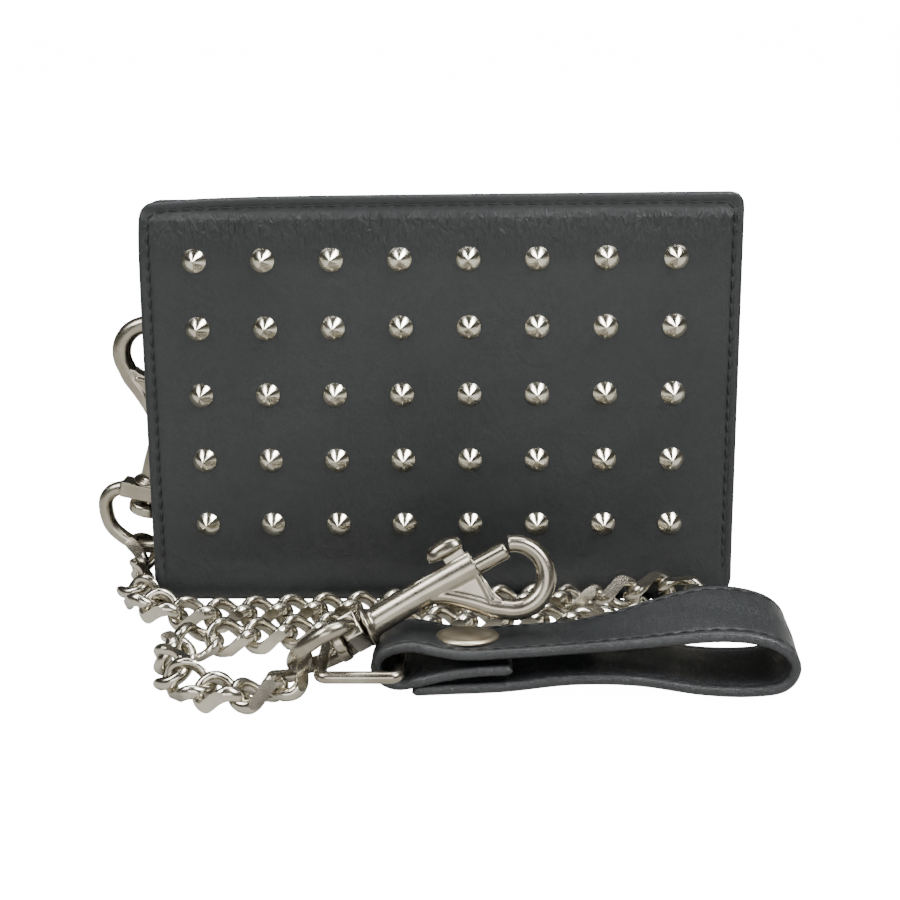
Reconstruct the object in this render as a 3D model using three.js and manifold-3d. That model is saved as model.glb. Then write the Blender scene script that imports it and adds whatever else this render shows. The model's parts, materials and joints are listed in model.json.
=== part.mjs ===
// A chain wallet: a studded bifold wallet standing on its fold, a curb chain with a bolt snap hook at
// each end, and a belt strap with a snap. Millimetres, +Z up. The origin is on the floor, below the
// middle of the fold. The studded front cover faces -Y.
import * as THREE from "three";
import { mergeVertices } from "three/addons/utils/BufferGeometryUtils.js";
import Module from "manifold-3d";

const wasm = await Module();
wasm.setup();

// ---- Driving dimensions -------------------------------------------------------------------------
const GAP = 0.3;
const CORNER = { top: 3, foot: 7 };
const FOOT_RADIUS = { front: 6, rear: 1.2 };
const WALLET = { width: 136, height: 95, fold: 20, leather: 1.8, lean: rad(3.5) };
const STUD = { columns: 8, rows: 5, pitch: 15.5, radius: 2.8, height: 2.3, shank: 0.8, left: 12.4, foot: 19.7 };
const BACKING = { thickness: 0.5, margin: 3 };
const INSIDE = { left: -50, right: 66, foot: 9, top: 88 };
const LINK = { count: 41, length: 12.6, width: 9.2, wire: 1.85, twist: rad(45), sides: 6, segments: 12 };
const SNAP = { barrel: 2.95, skirt: 4.2, bore: 2.05, bolt: 1.7, wire: 3.6, eye: 6.9, eyeAcross: 5.5, eyeAlong: 30.8, muzzle: 25.4 };
const DEE = { halfWidth: 10, length: 17.8, wire: 1.4, beam: 3.8, beamHalf: 6.9, gap: 0.4 };
const STRAP = { front: -60, width: 19.5, thickness: 2.2, ringX: -7.6, ringZ: 6.6, loopX: 65 };
const STRAP_RING = { left: -23.2, halfWidth: 12.2, wire: 1.5 };
const SNAP_FASTENER = { x: 7.5, y: -50.2, radius: 6.6 };
const HOOK_1 = { foot: new THREE.Vector3(-69.5, 0, 27), lean: rad(13.7) };
const HOOK_2 = { foot: new THREE.Vector3(-14.6, -52.5, 13.2), turn: rad(12.3), rise: rad(25.9), deeTurn: rad(-104) };
const HOOK_2_FACING = new THREE.Vector3(0.08, -0.9, 0.42);
const TAB_HOLE = { x: -59, z: 67 };
const TAB_RING = { halfLength: 4.5, halfWidth: 3.2, wire: 0.8, rise: rad(46) };

// ---- Materials ----------------------------------------------------------------------------------
const leather = new THREE.MeshStandardMaterial({ color: 0x17191b, roughness: 0.5, metalness: 0 });
const lining = new THREE.MeshStandardMaterial({ color: 0x1d1d1f, roughness: 0.75, metalness: 0 });
const strapLeather = new THREE.MeshStandardMaterial({ color: 0x1b1a1a, roughness: 0.55, metalness: 0 });
const nickel = new THREE.MeshStandardMaterial({ color: 0xb5b0a6, roughness: 0.3, metalness: 1 });
const studNickel = new THREE.MeshStandardMaterial({ color: 0xc9c4b8, roughness: 0.2, metalness: 1 });

// ---- Helpers ------------------------------------------------------------------------------------
function rad(degrees) {
  return (degrees * Math.PI) / 180;
}

// A closed three.js geometry as a solid that can be joined and cut.
function solid(geometry) {
  const plain = geometry.clone();
  plain.deleteAttribute("normal");
  plain.deleteAttribute("uv");
  const merged = mergeVertices(plain, 1e-4);
  const vertProperties = merged.attributes.position.array;
  return new wasm.Manifold(new wasm.Mesh({ numProp: 3, vertProperties, triVerts: new Uint32Array(merged.index.array) }));
}

// A solid back as a three.js geometry.
function surface(body) {
  const mesh = body.getMesh();
  const geometry = new THREE.BufferGeometry();
  geometry.setAttribute("position", new THREE.BufferAttribute(new Float32Array(mesh.vertProperties), 3));
  geometry.setIndex(new THREE.BufferAttribute(new Uint32Array(mesh.triVerts), 1));
  geometry.computeVertexNormals();
  return geometry;
}

function piece(parent, name, geometry, material) {
  const mesh = new THREE.Mesh(geometry, material);
  mesh.name = name;
  parent.add(mesh);
  return mesh;
}

function box(x0, x1, y0, y1, z0, z1) {
  const geometry = new THREE.BoxGeometry(x1 - x0, y1 - y0, z1 - z0);
  return geometry.translate((x0 + x1) / 2, (y0 + y1) / 2, (z0 + z1) / 2);
}

// A cylinder along Y between y0 and y1.
function pinAlongY(x, z, radius, y0, y1, sides) {
  return new THREE.CylinderGeometry(radius, radius, y1 - y0, sides).translate(x, (y0 + y1) / 2, z);
}

// A shape drawn in (Y, Z), extruded along X.
function extrudeX(shape, x0, x1, curveSegments = 5) {
  const geometry = new THREE.ExtrudeGeometry(shape, { depth: x1 - x0, bevelEnabled: false, curveSegments });
  const axes = new THREE.Matrix4().makeBasis(
    new THREE.Vector3(0, 1, 0),
    new THREE.Vector3(0, 0, 1),
    new THREE.Vector3(1, 0, 0),
  );
  return geometry.applyMatrix4(axes).translate(x0, 0, 0);
}

// A shape drawn in (X, Z), extruded along Y from y0 to y1.
function extrudeY(shape, y0, y1, curveSegments = 6) {
  const geometry = new THREE.ExtrudeGeometry(shape, { depth: y1 - y0, bevelEnabled: false, curveSegments });
  return geometry.rotateX(Math.PI / 2).translate(0, y1, 0);
}

function disc(radius, sides = 6) {
  const shape = new THREE.Shape();
  for (let i = 0; i < sides; i++) {
    const angle = (i * 2 * Math.PI) / sides;
    const point = [radius * Math.cos(angle), radius * Math.sin(angle)];
    if (i === 0) shape.moveTo(...point);
    else shape.lineTo(...point);
  }
  shape.closePath();
  return shape;
}

// A round wire along an open curve.
function wire(curve, radius, steps, sides = 6) {
  return new THREE.ExtrudeGeometry(disc(radius, sides), { steps, extrudePath: curve, bevelEnabled: false });
}

// A closed ring of wire whose centre line is an ellipse, bent from a torus. Twist turns each end about X.
function ovalRing({ halfLength, halfWidth, wireRadius, twist = 0, sides = 6, segments = 12 }) {
  const tube = 0.25;
  const geometry = new THREE.TorusGeometry(1, tube, sides, segments);
  const position = geometry.attributes.position;
  for (let i = 0; i < position.count; i++) {
    const x = position.getX(i);
    const y = position.getY(i);
    const around = Math.atan2(y, x);
    const out = ((Math.hypot(x, y) - 1) / tube) * wireRadius;
    const up = (position.getZ(i) / tube) * wireRadius;
    const normal = new THREE.Vector2(Math.cos(around) / halfLength, Math.sin(around) / halfWidth).normalize();
    const along = halfLength * Math.cos(around) + normal.x * out;
    const across = halfWidth * Math.sin(around) + normal.y * out;
    const turn = (twist * along) / halfLength;
    position.setXYZ(
      i,
      along,
      across * Math.cos(turn) - up * Math.sin(turn),
      across * Math.sin(turn) + up * Math.cos(turn),
    );
  }
  geometry.computeVertexNormals();
  return geometry;
}

const chainWallet = new THREE.Group();

// ---- Wallet covers ------------------------------------------------------------------------------
// The leaning outer face of a cover crosses (side * fold / 2, 0) and the line up the face.
function faceY(side, z, depth = 0) {
  return side * (WALLET.fold / 2 - z * Math.tan(WALLET.lean) - depth);
}

// The section of a cover in (Y, Z): up the outer face, and round the foot to y = inner.
function coverSection(side, inner, r) {
  const { height, leather: t } = WALLET;
  const shape = new THREE.Shape();
  const foot = faceY(side, 0);
  shape.moveTo(inner, 0);
  shape.lineTo(foot - side * r, 0);
  shape.quadraticCurveTo(foot - side * 0.15 * r, 0, faceY(side, r), r);
  shape.lineTo(faceY(side, height), height);
  shape.lineTo(faceY(side, height, t), height);
  if (side > 0) {
    shape.lineTo(faceY(side, t + GAP, t), t + GAP);
  } else {
    shape.lineTo(faceY(side, r + t, t), r + t);
    shape.quadraticCurveTo(faceY(side, t, t), t, foot - side * (r + t), t);
  }
  shape.lineTo(inner, t);
  shape.closePath();
  return shape;
}

const creaseY = WALLET.fold / 2 - 1.5;

// The covers' outline from the front, with rounded corners, as a cutter through the whole depth.
function coverOutline() {
  const { width, height } = WALLET;
  const half = width / 2;
  const top = CORNER.top;
  const foot = CORNER.foot;
  const shape = new THREE.Shape();
  shape.moveTo(-half + foot, 0);
  shape.lineTo(half - foot, 0);
  shape.absarc(half - foot, foot, foot, -Math.PI / 2, 0, false);
  shape.absarc(half - top, height - top, top, 0, Math.PI / 2, false);
  shape.absarc(-half + top, height - top, top, Math.PI / 2, Math.PI, false);
  shape.absarc(-half + foot, foot, foot, Math.PI, 1.5 * Math.PI, false);
  return solid(extrudeY(shape, -WALLET.fold, WALLET.fold, 5));
}

function studPlaces() {
  const places = [];
  for (let row = 0; row < STUD.rows; row++) {
    for (let column = 0; column < STUD.columns; column++) {
      places.push({
        x: -WALLET.width / 2 + STUD.left + column * STUD.pitch,
        z: STUD.foot + row * STUD.pitch,
      });
    }
  }
  return places;
}

// The front half's own frame: x as the wallet's, y into the wallet from the outer face, z up the face.
const frontHalf = new THREE.Group();
frontHalf.position.y = -WALLET.fold / 2;
frontHalf.rotation.x = -WALLET.lean;
chainWallet.add(frontHalf);
frontHalf.updateMatrixWorld(true);

function frontCover() {
  const half = WALLET.width / 2;
  let body = solid(extrudeX(coverSection(-1, creaseY - GAP, FOOT_RADIUS.front), -half, half));
  body = body.intersect(coverOutline());
  for (const { x, z } of studPlaces()) {
    const hole = pinAlongY(x, z, STUD.shank + GAP, -1, WALLET.leather + 1, 6).applyMatrix4(frontHalf.matrixWorld);
    body = body.subtract(solid(hole));
  }
  piece(chainWallet, "front_cover", surface(body), leather);
}

// Forty cone studs. Their clinched shanks hold on the backing sheet behind the leather.
function studs() {
  const places = studPlaces();
  const first = places[0];
  const last = places[places.length - 1];
  const back = WALLET.leather + GAP;
  const m = BACKING.margin;
  let body = solid(box(first.x - m, last.x + m, back, back + BACKING.thickness, first.z - m, last.z + m));
  for (const { x, z } of places) {
    const cone = new THREE.ConeGeometry(STUD.radius, STUD.height, 8).rotateX(Math.PI);
    cone.translate(x, -GAP / 3 - STUD.height / 2, z);
    const shank = pinAlongY(x, z, STUD.shank, -0.5, back + BACKING.thickness / 2, 6);
    body = body.add(solid(cone)).add(solid(shank));
  }
  piece(frontHalf, "studs", surface(body), studNickel);
}

// ---- Inside the front half ----------------------------------------------------------------------
const liningFace = WALLET.leather + GAP + BACKING.thickness + GAP;

// Card slots on their lining: a stepped block, thinner towards the top, with a slit behind each step.
function cardPocket() {
  const { left, right, foot, top } = INSIDE;
  const back = liningFace;
  const steps = [
    { z: top, front: back + 0.7 },
    { z: top - 22, front: back + 2 },
    { z: top - 40, front: back + 3 },
  ];
  const shape = new THREE.Shape();
  shape.moveTo(back, foot);
  shape.lineTo(back, steps[0].z);
  for (const [i, step] of steps.entries()) {
    shape.lineTo(step.front, step.z);
    if (i < steps.length - 1) shape.lineTo(step.front, steps[i + 1].z);
  }
  shape.lineTo(steps[steps.length - 1].front, foot);
  shape.closePath();
  let body = solid(extrudeX(shape, left, right));
  for (const step of steps.slice(1)) {
    const slit = box(left + 3, right - 3, step.front - 0.65, step.front - 0.4, step.z - 14, step.z + 1);
    body = body.subtract(solid(slit));
  }
  piece(frontHalf, "card_pocket", surface(body), lining);
}

// The sewn tab that the wallet end of the chain clips on to, with an eyelet hole near its tip.
function chainTab() {
  const back = liningFace + 2 + 2 * GAP;
  const { x, z } = TAB_HOLE;
  const shape = new THREE.Shape();
  shape.moveTo(x - 1.6, z - 1.6);
  shape.lineTo(-53, z - 8);
  shape.lineTo(-42, z - 8);
  shape.lineTo(-42, z + 6);
  shape.lineTo(-53, z + 6);
  shape.lineTo(x - 0.6, z + 2.2);
  shape.quadraticCurveTo(x - 2.9, z + 1.2, x - 1.6, z - 1.6);
  const hole = new THREE.Path();
  hole.absarc(x, z, TAB_RING.wire + GAP, 0, 2 * Math.PI, true);
  shape.holes.push(hole);
  piece(frontHalf, "chain_tab", extrudeY(shape, back, back + 0.8), leather);
  return back + 0.4;
}

// ---- Rear half ----------------------------------------------------------------------------------
const rearHalf = new THREE.Group();
rearHalf.position.y = WALLET.fold / 2;
rearHalf.rotation.x = WALLET.lean;
chainWallet.add(rearHalf);

function rearCover() {
  const half = WALLET.width / 2;
  const body = solid(extrudeX(coverSection(1, creaseY, FOOT_RADIUS.rear), -half, half));
  piece(chainWallet, "rear_cover", surface(body.intersect(coverOutline())), leather);
}

// A pocket open at the top: outside box less an inside box. y grows towards the rear cover.
function openPocket(x0, x1, y0, y1, z0, z1, wall) {
  const outside = solid(box(x0, x1, y0, y1, z0, z1));
  const inside = solid(box(x0 + 3, x1 - 3, y0 + wall, y1 - wall, z0 + 3, z1 + 1));
  return surface(outside.subtract(inside));
}

const billBack = -WALLET.leather - GAP;
const billFront = billBack - 1.4;
const coinBack = billFront - GAP;
const coinFront = coinBack - 1.6;
const COIN = { left: -30, right: 46, foot: 12, top: 56 };

function billPocket() {
  piece(rearHalf, "bill_pocket", openPocket(INSIDE.left, INSIDE.right, billFront, billBack, 9, 86, 0.45), lining);
}

function coinPocket() {
  piece(rearHalf, "coin_pocket", openPocket(COIN.left, COIN.right, coinFront, coinBack, COIN.foot, COIN.top, 0.5), lining);
}

// ---- Bolt snap hook -----------------------------------------------------------------------------
// A hook's own frame: +Z along the barrel to the hook's end, +X towards the side the eye bulges to,
// the origin at the foot of the skirt.
function hookFrame(foot, across, along) {
  const group = new THREE.Group();
  const side = new THREE.Vector3().crossVectors(along, across);
  group.setRotationFromMatrix(new THREE.Matrix4().makeBasis(across, side, along));
  group.position.copy(foot);
  chainWallet.add(group);
  group.updateMatrixWorld(true);
  return group;
}

// The flat side of the hook: the flank that leaves the barrel in an S, and the eye up to its tip.
function hookOutline() {
  const { eye, eyeAcross: cx, eyeAlong: cz, wire: w, barrel } = SNAP;
  const outer = eye + w / 2;
  const inner = eye - w / 2;
  const tip = rad(155);
  const start = rad(-48);
  const end = rad(218);
  const shape = new THREE.Shape();
  shape.moveTo(0, 11);
  shape.lineTo(barrel - 0.4, 11);
  shape.bezierCurveTo(2.4, 15, 4.5, 19, cx + outer * Math.cos(start), cz + outer * Math.sin(start));
  shape.absarc(cx, cz, outer, start, tip, false);
  shape.absarc(cx, cz, inner, tip, end - 2 * Math.PI, true);
  shape.lineTo(0, SNAP.muzzle - 0.2);
  shape.closePath();
  return shape;
}

// Depths below the skirt, where the stem passes through the dee's beam and ends in a rivet head.
const beamTop = -DEE.gap;
const beamFoot = beamTop - DEE.beam;
const rivetTop = beamFoot - 2 * DEE.gap;

function hookBody(group, name) {
  const { barrel, skirt, bore, wire: w, muzzle } = SNAP;
  const profile = [
    [0, rivetTop - 2.6],
    [4, rivetTop - 2.6],
    [4.5, rivetTop - 2],
    [4.5, rivetTop],
    [1.6, rivetTop],
    [1.6, 0],
    [skirt, 0],
    [skirt, 1],
    [barrel + 0.3, 2.6],
    [barrel, 6],
    [barrel, muzzle],
    [0, muzzle],
  ].map(([r, z]) => new THREE.Vector2(r, z));
  let body = solid(new THREE.LatheGeometry(profile, 14).rotateX(Math.PI / 2));
  body = body.add(solid(extrudeY(hookOutline(), -w / 2, w / 2, 9)));
  const depth = 13;
  const seat = new THREE.CylinderGeometry(bore, bore, depth + 4, 12).rotateX(Math.PI / 2);
  body = body.subtract(solid(seat.translate(0, 0, muzzle + 2 - depth / 2)));
  body = body.subtract(solid(box(-5, 0, -1.3, 1.3, muzzle - depth, muzzle + 2)));
  piece(group, name, surface(body), nickel);
}

// The bolt with its thumb lever. It slides back along the barrel to open the hook.
function hookBolt(group, name) {
  const end = 32.4;
  const length = 13.6;
  const shaft = new THREE.CylinderGeometry(SNAP.bolt, SNAP.bolt, length, 12).rotateX(Math.PI / 2);
  const stem = box(-5.6, 0, -1, 1, 20.8, 24.8);
  const paddle = new THREE.SphereGeometry(1, 10, 6).scale(1.5, 2.6, 3.7).translate(-6.7, 0, 21.8);
  const body = solid(shaft.translate(0, 0, end - length / 2)).add(solid(stem)).add(solid(paddle));
  piece(group, name, surface(body), nickel);
}

// The swivel dee: a beam with a hole for the hook's stem, and a bow of wire below it.
function hookSwivel(group, name) {
  const { halfWidth: h, length, wire: r, beamHalf } = DEE;
  const bow = new THREE.CatmullRomCurve3(
    [
      [-beamHalf + 0.8, beamTop - 1.6],
      [-h + 1, beamTop - 3.6],
      [-h, beamTop - 7.6],
      [-h * 0.7, beamTop - 13.4],
      [0, beamTop - length + r],
      [h * 0.7, beamTop - 13.4],
      [h, beamTop - 7.6],
      [h - 1, beamTop - 3.6],
      [beamHalf - 0.8, beamTop - 1.6],
    ].map(([x, z]) => new THREE.Vector3(x, 0, z)),
  );
  let body = solid(box(-beamHalf, beamHalf, -2.8, 2.8, beamFoot, beamTop));
  body = body.add(solid(wire(bow, r, 20)));
  const hole = new THREE.CylinderGeometry(1.6 + GAP, 1.6 + GAP, 12, 12).rotateX(Math.PI / 2);
  piece(group, name, surface(body.subtract(solid(hole))), nickel);
}

function hook(number, group) {
  hookBody(group, `hook${number}_body`);
  hookBolt(group, `hook${number}_bolt`);
}

// ---- Frames of the two hooks --------------------------------------------------------------------
const lean1 = HOOK_1.lean;
const along1 = new THREE.Vector3(Math.sin(lean1), 0, Math.cos(lean1));
const across1 = new THREE.Vector3(-Math.cos(lean1), 0, Math.sin(lean1));
const hookGroup1 = hookFrame(HOOK_1.foot, across1, along1);

const along2 = new THREE.Vector3(
  Math.cos(HOOK_2.rise) * Math.cos(HOOK_2.turn),
  Math.cos(HOOK_2.rise) * Math.sin(HOOK_2.turn),
  Math.sin(HOOK_2.rise),
);
const across2 = along2.clone().cross(HOOK_2_FACING).normalize();
const hookGroup2 = hookFrame(HOOK_2.foot, across2, along2);

// The second dee is turned about the barrel, so its plane stands across the hook's.
const deeAcross2 = across2.clone().applyAxisAngle(along2, HOOK_2.deeTurn);
const deeGroup2 = hookFrame(HOOK_2.foot, deeAcross2, along2);

// ---- Tab ring -----------------------------------------------------------------------------------
function tabRing(tabY) {
  const centre = new THREE.Vector3(TAB_HOLE.x, tabY, TAB_HOLE.z).applyMatrix4(frontHalf.matrixWorld);
  const geometry = ovalRing({
    halfLength: TAB_RING.halfLength,
    halfWidth: TAB_RING.halfWidth,
    wireRadius: TAB_RING.wire,
  });
  geometry.translate(-TAB_RING.halfLength, 0, 0).rotateY(-TAB_RING.rise);
  const mesh = piece(chainWallet, "tab_ring", geometry, nickel);
  mesh.position.set(centre.x, 0, centre.z);
}

// ---- Chain --------------------------------------------------------------------------------------
// Pivots where links meet, laid along a curve. Each point also has the roll of the links about it.
const deeBottom1 = new THREE.Vector3(0, 0, beamTop - DEE.length + DEE.wire).applyMatrix4(hookGroup1.matrixWorld);
const deeBottom2 = new THREE.Vector3(0, 0, beamTop - DEE.length + DEE.wire).applyMatrix4(deeGroup2.matrixWorld);

const LAY = [
  [deeBottom1.x - 0.2, 1, deeBottom1.z + 0.8, 130],
  [-73.8, -6, 6.5, 78],
  [-72.7, -13.5, 5.2, 25],
  [-68, -20, 4.2, 0],
  [-61.5, -23.2, 3.2, 0],
  [-53, -23.6, 2.8, 0],
  [-40, -21.6, 2.7, 0],
  [-20, -19.4, 2.7, 0],
  [5, -16.4, 2.7, 0],
  [28, -14.9, 2.9, 0],
  [42, -13.8, 3.6, -60],
  [53, -13.6, 4.6, -86],
  [60.5, -22.8, 5, -88],
  [54, -32.2, 4.6, -92],
  [42, -30, 3.4, -120],
  [26, -26.4, 2.7, -180],
  [0, -27.7, 2.7, -180],
  [-22, -30.8, 2.7, -180],
  [-40, -34.6, 2.8, -180],
  [-51.8, -38, 3.2, -212],
  [-58, -47, 4.5, -263],
  [-54.2, -56.8, 4, -308],
  [-47, -61.5, 3, -350],
  [-39.5, -64, 2.8, -370],
  [-33.4, -62, 3, -383],
  [deeBottom2.x + 1.2, deeBottom2.y + 1.2, deeBottom2.z + 1.2, -388],
];

// A point of the smooth lay at t from 0 to 1, with its roll.
const layCurve = new THREE.CatmullRomCurve3(
  LAY.map(([x, y, z]) => new THREE.Vector3(x, y, z)),
  false,
  "centripetal",
);

function layRoll(t) {
  const at = t * (LAY.length - 1);
  const i = Math.min(Math.floor(at), LAY.length - 2);
  return rad(THREE.MathUtils.lerp(LAY[i][3], LAY[i + 1][3], at - i));
}

// The pivots that chord steps of one length leave on the curve, and how far along the last one is.
function walk(step) {
  const pivots = [{ point: layCurve.getPoint(0), t: 0 }];
  let t = 0;
  for (let i = 0; i < LINK.count; i++) {
    const from = pivots[i].point;
    const stride = 0.0002;
    while (t < 1.2 && layCurve.getPoint(Math.min(t, 1)).distanceTo(from) < step) {
      t += stride;
      if (t > 1) return { pivots, t: 1 + (LINK.count - i) };
    }
    pivots.push({ point: layCurve.getPoint(t), t });
  }
  return { pivots, t };
}

// The pitch that makes the links fill the lay exactly.
function pitchThatFits() {
  let low = 6;
  let high = 9;
  for (let i = 0; i < 24; i++) {
    const middle = (low + high) / 2;
    if (walk(middle).t > 1) high = middle;
    else low = middle;
  }
  return low;
}

function linkGeometry() {
  return ovalRing({
    halfLength: (LINK.length - LINK.wire) / 2,
    halfWidth: (LINK.width - LINK.wire) / 2,
    wireRadius: LINK.wire / 2,
    twist: LINK.twist,
    sides: LINK.sides,
    segments: LINK.segments,
  });
}

function chain() {
  const { pivots } = walk(pitchThatFits());
  const geometry = linkGeometry();
  for (let i = 0; i < LINK.count; i++) {
    const from = pivots[i].point;
    const to = pivots[i + 1].point;
    const along = to.clone().sub(from).normalize();
    const across = new THREE.Vector3(0, 0, 1).cross(along).normalize();
    across.applyAxisAngle(along, layRoll((pivots[i].t + pivots[i + 1].t) / 2));
    const up = along.clone().cross(across);
    const link = piece(chainWallet, `link_${String(i + 1).padStart(2, "0")}`, geometry, nickel);
    link.setRotationFromMatrix(new THREE.Matrix4().makeBasis(along, across, up));
    link.position.addVectors(from, to).multiplyScalar(0.5);
  }
}

// ---- Belt strap ---------------------------------------------------------------------------------
// The strap's sections are drawn in (X, Z) and extruded along Y.
const strapBack = STRAP.front + STRAP.width;
const strapMiddle = (STRAP.front + strapBack) / 2;

// A band of even thickness either side of a centre line.
function band(centreLine, thickness, divisions) {
  const points = centreLine.getSpacedPoints(divisions);
  const left = [];
  const right = [];
  points.forEach((point, i) => {
    const tangent = centreLine.getTangentAt(i / divisions);
    const normal = new THREE.Vector2(-tangent.y, tangent.x).multiplyScalar(thickness / 2);
    left.push(point.clone().add(normal));
    right.push(point.clone().sub(normal));
  });
  return new THREE.Shape([...left, ...right.reverse()]);
}

function spline(points) {
  return new THREE.SplineCurve(points.map(([x, z]) => new THREE.Vector2(x, z)));
}

function strapRing() {
  const { left, halfWidth, wire: r } = STRAP_RING;
  const right = STRAP.ringX;
  const frame = new THREE.Shape();
  frame.moveTo(left - r, -halfWidth - r);
  frame.lineTo(right + r, -halfWidth - r);
  frame.lineTo(right + r, halfWidth + r);
  frame.lineTo(left - r, halfWidth + r);
  frame.closePath();
  const opening = new THREE.Path();
  opening.moveTo(left + r, -halfWidth + r);
  opening.lineTo(right - r, -halfWidth + r);
  opening.lineTo(right - r, halfWidth - r);
  opening.lineTo(left + r, halfWidth - r);
  opening.closePath();
  frame.holes.push(opening);
  const geometry = new THREE.ExtrudeGeometry(frame, { depth: 2 * r, bevelEnabled: false });
  piece(chainWallet, "strap_ring", geometry.translate(0, strapMiddle, STRAP.ringZ - r), nickel);
}

function strapUpper() {
  const { ringX: x, ringZ: z } = STRAP;
  const r = STRAP_RING.wire * 1.42 + GAP + STRAP.thickness / 2;
  const centreLine = spline([
    [15.7, 6.6],
    [8, 6],
    [2, 5.5],
    [x + 3, z - r + 0.9],
    [x, z - r],
    [x - 0.71 * r, z - 0.71 * r],
    [x - r, z],
    [x - 0.71 * r, z + 0.71 * r],
    [x, z + r],
    [x + 8, z + r],
    [20, 11.1],
    [40, 12.9],
    [58, 14.4],
    [STRAP.loopX, 13.6],
  ]);
  const body = extrudeY(band(centreLine, STRAP.thickness, 40), STRAP.front, strapBack);
  const { x: sx, y: sy } = SNAP_FASTENER;
  const hole = new THREE.CylinderGeometry(1.6 + GAP, 1.6 + GAP, 30, 10).rotateX(Math.PI / 2).translate(sx, sy, 8);
  piece(chainWallet, "strap_upper", surface(solid(body).subtract(solid(hole))), strapLeather);
}

function strapTail() {
  const centreLine = spline([
    [STRAP.loopX + GAP, 13.5],
    [70.2, 11.4],
    [72.8, 7.2],
    [70.6, 2.9],
    [64, 1.6],
    [54, 2.1],
    [41, 4.2],
    [28, 4.4],
    [14, 2.6],
    [2, 2],
    [-4.5, 1.6],
  ]);
  const body = extrudeY(band(centreLine, STRAP.thickness, 34), STRAP.front, strapBack);
  const { x: sx, y: sy } = SNAP_FASTENER;
  const hole = new THREE.CylinderGeometry(1.2 + GAP, 1.2 + GAP, 5, 10).rotateX(Math.PI / 2).translate(sx, sy, 2);
  piece(chainWallet, "strap_tail", surface(solid(body).subtract(solid(hole))), strapLeather);
}

// A turned piece of the snap, drawn as (radius, height) and stood on its axis.
function snapPiece(name, profile) {
  const points = profile.map(([r, z]) => new THREE.Vector2(r, z));
  const geometry = new THREE.LatheGeometry(points, 16).rotateX(Math.PI / 2);
  piece(chainWallet, name, geometry.translate(SNAP_FASTENER.x, SNAP_FASTENER.y, 0), nickel);
}

// The cap's post goes through the strap's upper layer and ends in the socket.
function strapSnap() {
  const rim = SNAP_FASTENER.radius;
  snapPiece("strap_snap_cap", [
    [0, 4],
    [4.6, 4],
    [4.6, 4.3],
    [1.5, 4.3],
    [1.5, 12],
    [rim, 12],
    [rim - 0.6, 12.8],
    [rim - 3, 13.3],
    [0, 13.5],
  ]);
  snapPiece("strap_snap_stud", [
    [0, 0.2],
    [rim - 0.4, 0.2],
    [rim - 0.4, 0.7],
    [1.2, 0.7],
    [1.2, 3.7],
    [0, 3.7],
  ]);
}

frontCover();
studs();
cardPocket();
tabRing(chainTab());
rearCover();
billPocket();
coinPocket();
hook(1, hookGroup1);
hookSwivel(hookGroup1, "hook1_swivel");
chain();
hookSwivel(deeGroup2, "hook2_swivel");
hook(2, hookGroup2);
strapRing();
strapUpper();
strapTail();
strapSnap();

export default chainWallet;
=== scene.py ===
"""The chain wallet's visual model, in metres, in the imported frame.

A studded bifold wallet stands on its fold. A curb chain runs from a bolt snap hook at the wallet's
left edge, along the floor and back, to a second hook and a belt strap. Shapes are worked out in
millimetres and scaled when the meshes are made.
"""
import json
import math

import bmesh
import bpy
import numpy as np
from mathutils import Matrix, Vector

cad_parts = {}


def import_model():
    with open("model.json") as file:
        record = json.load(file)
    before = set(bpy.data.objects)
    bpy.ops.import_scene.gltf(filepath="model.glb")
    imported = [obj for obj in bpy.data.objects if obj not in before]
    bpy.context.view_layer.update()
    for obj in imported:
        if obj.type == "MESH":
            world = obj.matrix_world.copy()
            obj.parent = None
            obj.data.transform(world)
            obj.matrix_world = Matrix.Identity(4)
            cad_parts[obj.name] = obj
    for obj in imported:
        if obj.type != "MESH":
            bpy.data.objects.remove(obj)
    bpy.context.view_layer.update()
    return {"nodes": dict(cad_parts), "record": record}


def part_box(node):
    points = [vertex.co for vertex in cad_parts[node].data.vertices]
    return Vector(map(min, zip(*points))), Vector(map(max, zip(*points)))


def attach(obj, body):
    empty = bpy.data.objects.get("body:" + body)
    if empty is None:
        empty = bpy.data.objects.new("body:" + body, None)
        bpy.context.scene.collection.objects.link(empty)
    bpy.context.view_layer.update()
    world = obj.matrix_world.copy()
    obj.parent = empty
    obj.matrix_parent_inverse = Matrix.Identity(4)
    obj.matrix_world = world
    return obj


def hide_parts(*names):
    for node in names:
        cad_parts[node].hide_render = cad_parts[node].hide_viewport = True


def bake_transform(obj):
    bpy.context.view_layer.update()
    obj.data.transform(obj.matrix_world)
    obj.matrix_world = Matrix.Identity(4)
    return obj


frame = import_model()

MM = 0.001
JOINTS = {joint["name"]: joint for joint in frame["record"]["behaviour"]["joints"]}

# ---- Sizes in millimetres -----------------------------------------------------------------------
COVER = {"half": 68, "height": 95, "fold": 20, "leather": 1.8, "lean": math.radians(3.5)}
FOOT_RADIUS = {"front": 3.8, "rear": 3.6}
FOOT_SETBACK = 1.06  # a foot's rounding starts this many radii in from the cover's face
FOOT_BELLY = 0.8
FACE_START = 9  # the height where a cover's flat face begins
SOFT_EDGE = 6  # the swell fades out over this distance from the edge
CORNER = {"top": 3.2, "foot": 7}
SEAM = {"inset": 2.2, "pitch": 3.0, "thread": 0.24}
STUD = {"columns": 8, "rows": 5, "pitch": 15.5, "radius": 2.8, "height": 2.3, "left": 12.4, "foot": 19.7}
LINK = {"length": 12.7, "width": 10.1, "wire": 2.55, "end": 2.9, "side": 3.9, "flat": 1.05,
        "twist": math.radians(-42)}
HOOK = {"bolt": 1.88, "bore": 2.1, "muzzle": 26.0, "end": 33.4,
        "eye": 6.9, "eye_across": 5.5, "eye_along": 31.7}
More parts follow.
